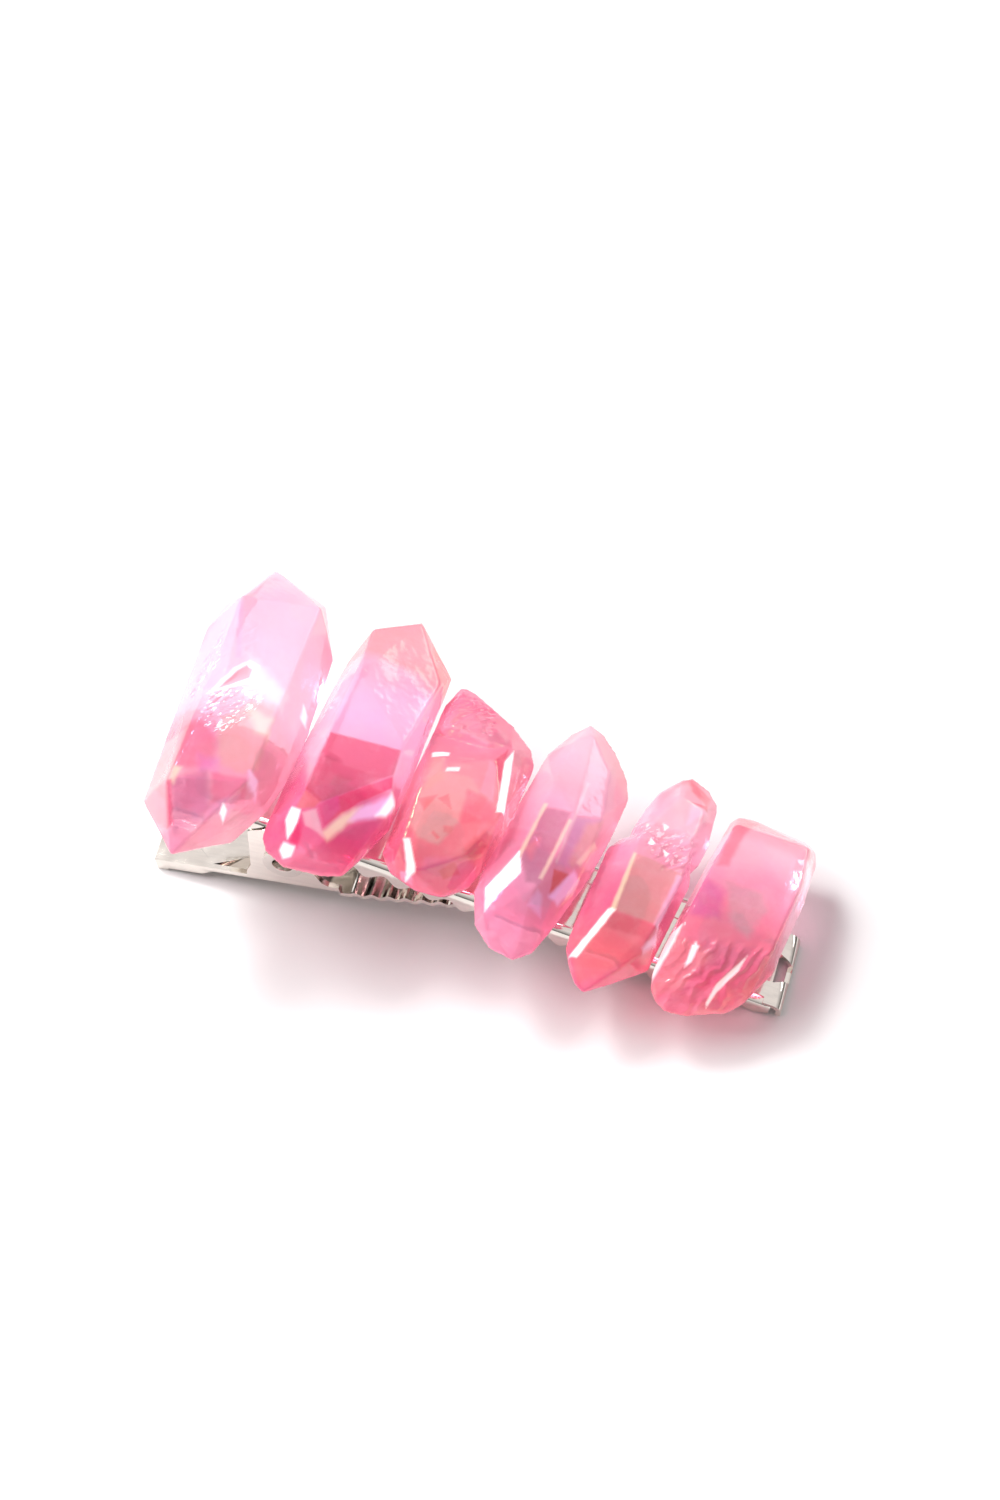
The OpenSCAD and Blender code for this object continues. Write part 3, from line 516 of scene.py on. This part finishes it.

# Carved detail: [corners, kind, depth in mm, size of one feature in mm, how etched the polish is]; the last
# also sets where the painted sparkles are.
RELIEFS = {
    "crystal_1": [
        [[(-12.2, 10.6), (-11.2, 8.2), (-10.8, 5.5), (-12, 1.2), (-13.4, 2), (-13, 6)],
          "etched", 0.06, 0.6, 0.7],
        [[(-11.9, 2.4), (-8.8, 4), (-6, 3.7), (-6.8, 0.8), (-8.9, -2.1), (-11, -1.7)],
          "etched", 0.09, 0.6, 1.0],
        [[(-11.4, 12.4), (-9, 10.4), (-8.6, 7), (-9.9, 6)], "etched", 0.04, 0.7, 0.35],
        [[(-9, 6.4), (-9.8, 5), (-11, 2.2), (-9.4, 3.4), (-7.9, 4.6), (-8, 6.2)], "dent", 0.35, 1, 0]],
    "crystal_2": [
        [[(1, 14), (6, 13), (6.5, 10.5), (1, 11)], "plates", 0.03, 1.6, 0.1]],
    "crystal_3": [
        [[(9, 5), (14.5, 5), (15, 1), (13, -4), (9, -3)], "plates", 0.05, 1.3, 0.15],
        [[(10, 14), (14, 13), (14, 8), (9, 8)], "etched", 0.1, 0.8, 0.3]],
    "crystal_4": [
        [[(20, 2), (22, 2), (21.6, -2), (19.6, -1)], "plates", 0.06, 0.9, 0.2]],
    "crystal_5": [
        [[(28.6, 7), (35, 7), (34.6, 2.6), (32.5, 1.6), (30, 3.2)], "etched", 0.16, 1.1, 0.62]],
    "crystal_6": [
        [[(35, -3.8), (39, -3), (44.5, -2), (43, -7), (38, -10), (34, -9)], "ridges", 0.09, 1.1, 0.5],
        [[(36, 4), (44, 4), (44, -2), (36, -2)], "plates", 0.05, 1.4, 0.2]],
}


def relief(kind, p, size, seed):
    """Height, within about -1 to 1, of one carved texture at p, which is in mm on the deck."""
    if kind == "dent":
        return -1.0
    if kind == "etched":                        # grooves drawn out along the diagonal
        q = Vector(((p.x + p.y) * 0.35, (p.y - p.x) * 1.1, p.z)) / size
        return 1 - 2 * abs(noise.noise(q + Vector((seed, 0, 0)))) * 2
    if kind == "plates":                        # thin steps, as of broken layers
        level = noise.noise(p / size + Vector((0, seed, 0))) * 4
        return (round(level) + 0.3 * noise.noise(p * 2)) * 0.4
    place = (p.x * 0.93 - p.y * 0.37) / size    # chipped ridges, one for each feature's size along this line
    chipped = noise.noise(p * 0.5) * 2.2 + noise.noise(p * 1.6) * 0.6
    return 1 - 2 * abs(math.sin(math.pi * place + chipped))


WAVE = 0.07                                 # mm, height of the slow waves on every face
RIPPLE = 0.012                              # mm, height of the fine ripple on top of them
RELIEF_INSET = 0.3                          # mm inside its outline, where a carved area is half deep
RELIEF_FADE = 0.5                           # mm, over which it fades in to each side of that


def carve(mesh, name, seed):
    """Swells the skin, and gives it slow waves and the crystal's own carved detail."""
    co, normals = vertex_places(mesh), vertex_normals(mesh)
    deck = to_deck(co)
    lift = np.full(len(co), SWELL)
    etched = np.zeros(len(co))
    for i, p in enumerate(deck):
        q = Vector(p)
        lift[i] += WAVE * noise.noise(Vector((q.x * 0.4, q.y * 0.2, q.z * 0.4 + 9 * seed)))
        lift[i] += RIPPLE * noise.noise(q * 2.2)
    upper = np.clip((normals @ np.array(DECK_UP)) * 2, 0, 1)
    for corners, kind, depth, size, etching in RELIEFS[name]:
        share = soft_step(inside(deck[:, :2], corners) - RELIEF_INSET, RELIEF_FADE) * upper
        etched = np.maximum(etched, share * etching)
        for i in np.nonzero(share > 0.01)[0]:
            lift[i] += share[i] * depth * relief(kind, Vector(deck[i]), size, 3.1 * seed)
    # the etched share: grit in the polish, and where the stone gives off painted sparkles
    layer = mesh.attributes.new("etched", "FLOAT", "POINT")
    layer.data.foreach_set("value", etched)
    move_vertices(mesh, co + normals * lift[:, None] * MM)


DRIFT = 1.6                                 # mm, how far the tint's bands wander
RAGGED = 0.35                               # mm, how far a soft pane's edge wanders
PANE_FLOOR = 2.5                            # mm above the deck, where the panes fade out
PANE_TILT = 0.05                            # upward part of a face's normal, where they fade out too


def paint(mesh, name, seed):
    """Writes the crystal's tint, and how much it glints as the alpha, to a colour attribute."""
    deck = to_deck(vertex_places(mesh))
    up = vertex_normals(mesh) @ np.array(DECK_UP)
    stops, panes = TINTS[name]
    drift = np.array([noise.noise(Vector(p) * 0.35 + Vector((0, 0, 7 * seed))) for p in deck])
    across = deck[:, 1] + DRIFT * drift
    places = [s[0] for s in stops]
    colour = np.stack([np.interp(across, places, [s[1][k] for s in stops]) for k in range(4)], 1)
    ragged = np.array([noise.noise(Vector(p) * 1.3) for p in deck]) * RAGGED
    for corners, tint, softness, strength in panes:
        share = soft_step(inside(deck[:, :2], corners) + ragged * min(1, softness), softness) * strength
        share *= soft_step(up - PANE_TILT, 0.3) * soft_step(deck[:, 2] - PANE_FLOOR, 0.6)
        colour += share[:, None] * (np.array(tint) - colour)
    layer = mesh.color_attributes.new("tint", "FLOAT_COLOR", "POINT")
    layer.data.foreach_set("color", np.clip(colour, 0, 1).ravel())


VOXEL = 0.15                                # mm
SWELL = 0.13                                # mm, gives back what the smoothing takes off
SOFTENING = [4, 5, 12, 4, 8, 14]            # smoothing passes for each crystal's edges
FILM = [340, 330, 285, 345, 280, 320]       # coating thickness, nm


def crystal(number, name, parts):
    bm = bmesh.new()
    for points in parts:
        hull(bm, [on_deck(*p) for p in points])
    obj = mesh_object(name + "_stone", bm)
    remesh(obj, VOXEL, SOFTENING[number - 1])
    carve(obj.data, name, number)
    paint(obj.data, name, number)
    obj.data.materials.append(stone(name + "_look", FILM[number - 1], number))
    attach(obj, UPPER)
    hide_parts(name)


# ---------------------------------------------------------------- steel

EDGE_ROLL = 0.07                            # mm, width of the rolled edges
EDGE_ANGLE = math.radians(38)               # edges sharper than this are rolled


def soften_edges(node):
    """Rolls the sharp edges of a stamped part a little, so that they catch the light."""
    join = node.modifiers.new("join", "WELD")
    join.merge_threshold = 0.002 * MM
    rolled = node.modifiers.new("rolled", "BEVEL")
    rolled.width = EDGE_ROLL * MM
    rolled.segments = 2
    rolled.limit_method = "ANGLE"
    rolled.angle_limit = EDGE_ANGLE
    rolled.use_clamp_overlap = True


# ---------------------------------------------------------------- glue

BEAD_HALF = 0.15                            # mm, half of the glue's thickness
UNEVEN = 0.12                               # how far the bead's outline wanders, as a share of its size


def glue_blob(number, look):
    """A flattened, uneven bead of clear glue in place of the plain pad."""
    name = f"glue_{number}"
    low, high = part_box(name)
    middle = (low + high) / 2
    half = (high - low) / 2
    bm = bmesh.new()
    bmesh.ops.create_icosphere(bm, subdivisions=4, radius=1)
    for v in bm.verts:
        flat = Vector((v.co.x, v.co.y, 0))
        bulge = 1 - UNEVEN * (1 + noise.noise(flat * 1.7 + Vector((number * 4, 0, 0))))
        square = max(abs(flat.x), abs(flat.y), 1e-6) / max(flat.length, 1e-6)
        reach = bulge * (0.85 + 0.15 / max(square, 0.7))       # between an oval and a rectangle
        thick = BEAD_HALF * max(-1, min(1, v.co.z * 2))
        place = ALONG * v.co.x * half.x * reach + ACROSS * v.co.y * half.y * reach + DECK_UP * thick * MM
        v.co = middle + place
    obj = mesh_object(name + "_bead", bm)
    obj.data.polygons.foreach_set("use_smooth", [True] * len(obj.data.polygons))
    obj.data.materials.append(look)
    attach(obj, UPPER)
    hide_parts(name)


# ---------------------------------------------------------------- spring

WIRE_R = 0.4                                # mm, as are the lengths below
COIL_R = 1.75
COIL_PITCH = 0.84
WHOLE_TURNS = 4                             # the coil has a part turn more
LEG_END = -9.5                              # how far behind the hinge both legs end
TOP_LEG_UP = 4.05                           # the upper leg's end above the hinge, square to the upper arm
LOW_LEG_UP = -2.56                          # and the lower leg's, square to the lower arm
COIL_STEPS = 160
WIRE_SIDES = 12


def leg(up, slope, side):
    """End point of a leg, and the angle at which the wire leaves the coil for it. Both in X and Z."""
    reach = math.hypot(LEG_END, up)
    bearing = math.atan2(up, LEG_END) + slope
    end = Vector((reach * math.cos(bearing), 0, reach * math.sin(bearing)))
    return end, bearing - side * math.acos(COIL_R / reach)


def tube(name, path):
    """A round wire along the path, given in mm from the hinge, with closed ends."""
    bm = bmesh.new()
    rings = []
    for i, point in enumerate(path):
        tangent = (path[min(i + 1, len(path) - 1)] - path[max(i - 1, 0)]).normalized()
        across = (ACROSS - tangent * ACROSS.dot(tangent)).normalized()
        out = tangent.cross(across)
        turns = [2 * math.pi * k / WIRE_SIDES for k in range(WIRE_SIDES)]
        offsets = [across * math.cos(t) + out * math.sin(t) for t in turns]
        rings.append([bm.verts.new(HINGE + (point + WIRE_R * o) * MM) for o in offsets])
    for one, two in zip(rings, rings[1:]):
        for k in range(WIRE_SIDES):
            bm.faces.new((one[k], one[(k + 1) % WIRE_SIDES], two[(k + 1) % WIRE_SIDES], two[k]))
    bm.faces.new(rings[0])
    bm.faces.new(rings[-1])
    bmesh.ops.recalc_face_normals(bm, faces=bm.faces)
    obj = mesh_object(name, bm)
    obj.data.polygons.foreach_set("use_smooth", [len(p.vertices) == 4 for p in obj.data.polygons])
    return obj


def spring():
    """The torsion spring in two halves that overlap in the coil, so that each leg follows its arm."""
    top_end, start = leg(TOP_LEG_UP, -TOP_SLOPE, 1)
    low_end, stop = leg(LOW_LEG_UP, LOW_SLOPE, -1)
    stop -= WHOLE_TURNS * 2 * math.pi
    half_width = (start - stop) / (2 * math.pi) * COIL_PITCH / 2
    coil = []
    for i in range(COIL_STEPS + 1):
        part = i / COIL_STEPS
        turn = start + part * (stop - start)
        coil.append(Vector((COIL_R * math.cos(turn), half_width * (2 * part - 1), COIL_R * math.sin(turn))))
    top_end.y, low_end.y = -half_width, half_width
    look = nickel("spring_look", (0.55, 0.54, 0.53), 0.28, 0.4)
    middle, overlap = COIL_STEPS // 2, COIL_STEPS // 16
    halves = (("spring_upper_leg", [top_end] + coil[:middle + overlap], UPPER),
              ("spring_lower_leg", coil[middle - overlap:] + [low_end], LOWER))
    for name, path, body in halves:
        obj = tube(name, path)
        obj.data.materials.append(look)
        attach(obj, body)
        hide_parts("torsion_spring")


# ---------------------------------------------------------------- stage

FLOOR_HALF = 1.5        # metres


def floor():
    bm = bmesh.new()
    bmesh.ops.create_grid(bm, x_segments=2, y_segments=2, size=FLOOR_HALF)
    obj = mesh_object("floor", bm)
    obj.location.z = CAD_BOX[0][2]
    n = Nodes("floor_white")
    n.set(Roughness=0.7, Specular_IOR_Level=0.2)
    paper = n.ramp(n.noise(40, 3), [(0.3, (0.93, 0.93, 0.93)), (0.7, (0.95, 0.95, 0.95))])
    n.link(paper, n.shader.inputs["Base Color"])
    obj.data.materials.append(n.material)


def camera():
    """Long lens, looking down across the clip with its thumb tabs to the left."""
    turn, rise, distance = math.radians(15.6), math.radians(57), 0.3948
    aim = Vector((-2.81 * MM, 13.34 * MM, 0))
    back = Vector((math.sin(turn) * math.cos(rise), -math.cos(turn) * math.cos(rise), math.sin(rise)))
    data = bpy.data.cameras.new("camera")
    data.lens = 100
    data.sensor_width = 36
    data.clip_start = 0.01
    obj = bpy.data.objects.new("camera", data)
    obj.location = aim + back * distance
    obj.rotation_euler = back.to_track_quat("Z", "Y").to_euler()
    bpy.context.collection.objects.link(obj)
    bpy.context.scene.camera = obj


def area_light(name, direction, distance, size, power, colour=(1, 1, 1)):
    data = bpy.data.lights.new(name, "AREA")
    data.shape = "RECTANGLE"
    data.size, data.size_y = size
    data.energy = power
    data.color = colour
    obj = bpy.data.objects.new(name, data)
    toward = Vector(direction).normalized()
    obj.location = toward * distance
    obj.rotation_euler = toward.to_track_quat("Z", "Y").to_euler()
    bpy.context.collection.objects.link(obj)
    return obj


MIRRORED_SKY = (0.05, 0.95)     # the world's brightness at the horizon and high up, in mirror rays
OPEN_SKY = (0.06, 0.46)         # the same in all other light
SKY_HIGH = 0.75                 # how steep a ray is, as its Z, where the brightness stops rising
BACKDROP = 1.0                  # the plain, pale brightness that the camera itself sees


def lights():
    area_light("key", (-0.50, 0.25, 0.83), 0.8, (0.22, 0.17), 2.2)
    softbox = area_light("softbox", (-0.62, -0.02, 0.77), 0.8, (0.6, 0.6), 6.0)
    softbox.visible_glossy = False              # it lights the stage, and only the key is mirrored
    area_light("back", (0.5, 0.75, 0.45), 0.9, (0.5, 0.12), 0.6)
    world = bpy.data.worlds.new("studio")
    bpy.context.scene.world = world
    world.use_nodes = True
    tree = world.node_tree
    coords = tree.nodes.new("ShaderNodeTexCoord")
    split = tree.nodes.new("ShaderNodeSeparateXYZ")
    shades = []
    for low, high in (MIRRORED_SKY, OPEN_SKY):
        shade = tree.nodes.new("ShaderNodeMapRange")
        for name, value in (("From Min", 0.0), ("From Max", SKY_HIGH), ("To Min", low), ("To Max", high)):
            shade.inputs[name].default_value = value
        tree.links.new(split.outputs["Z"], shade.inputs["Value"])
        shades.append(shade.outputs["Result"])
    path = tree.nodes.new("ShaderNodeLightPath")
    tree.nodes["Background"].inputs["Color"].default_value = (1, 0.955, 0.955, 1)
    choose = tree.nodes.new("ShaderNodeMix")                # its sockets 2 and 3 are the two brightnesses
    tree.links.new(coords.outputs["Generated"], split.inputs[0])
    tree.links.new(path.outputs["Is Glossy Ray"], choose.inputs[0])
    tree.links.new(shades[1], choose.inputs[2])
    tree.links.new(shades[0], choose.inputs[3])
    backdrop = tree.nodes.new("ShaderNodeMix")
    backdrop.inputs[3].default_value = BACKDROP
    tree.links.new(path.outputs["Is Camera Ray"], backdrop.inputs[0])
    tree.links.new(choose.outputs[0], backdrop.inputs[2])
    tree.links.new(backdrop.outputs[0], tree.nodes["Background"].inputs["Strength"])


# ---------------------------------------------------------------- build

bpy.context.scene.view_settings.view_transform = "Standard"
camera()
lights()
floor()
for number, (name, parts) in enumerate(CRYSTALS.items(), 1):
    crystal(number, name, parts)
glue_look = clear_glue()
for number in range(1, len(CRYSTALS) + 1):
    glue_blob(number, glue_look)

spring()

steel = nickel("nickel_plate_look", (0.84, 0.79, 0.73), 0.085, 0.1)
METALS = {
    "top_arm": steel,
    "lower_arm": steel,
    "hinge_rivet": nickel("rivet_look", (0.72, 0.68, 0.63), 0.09, 0.1),
}
for name, look in METALS.items():
    node = frame["nodes"][name]
    node.data.materials.clear()
    node.data.materials.append(look)
    soften_edges(node)
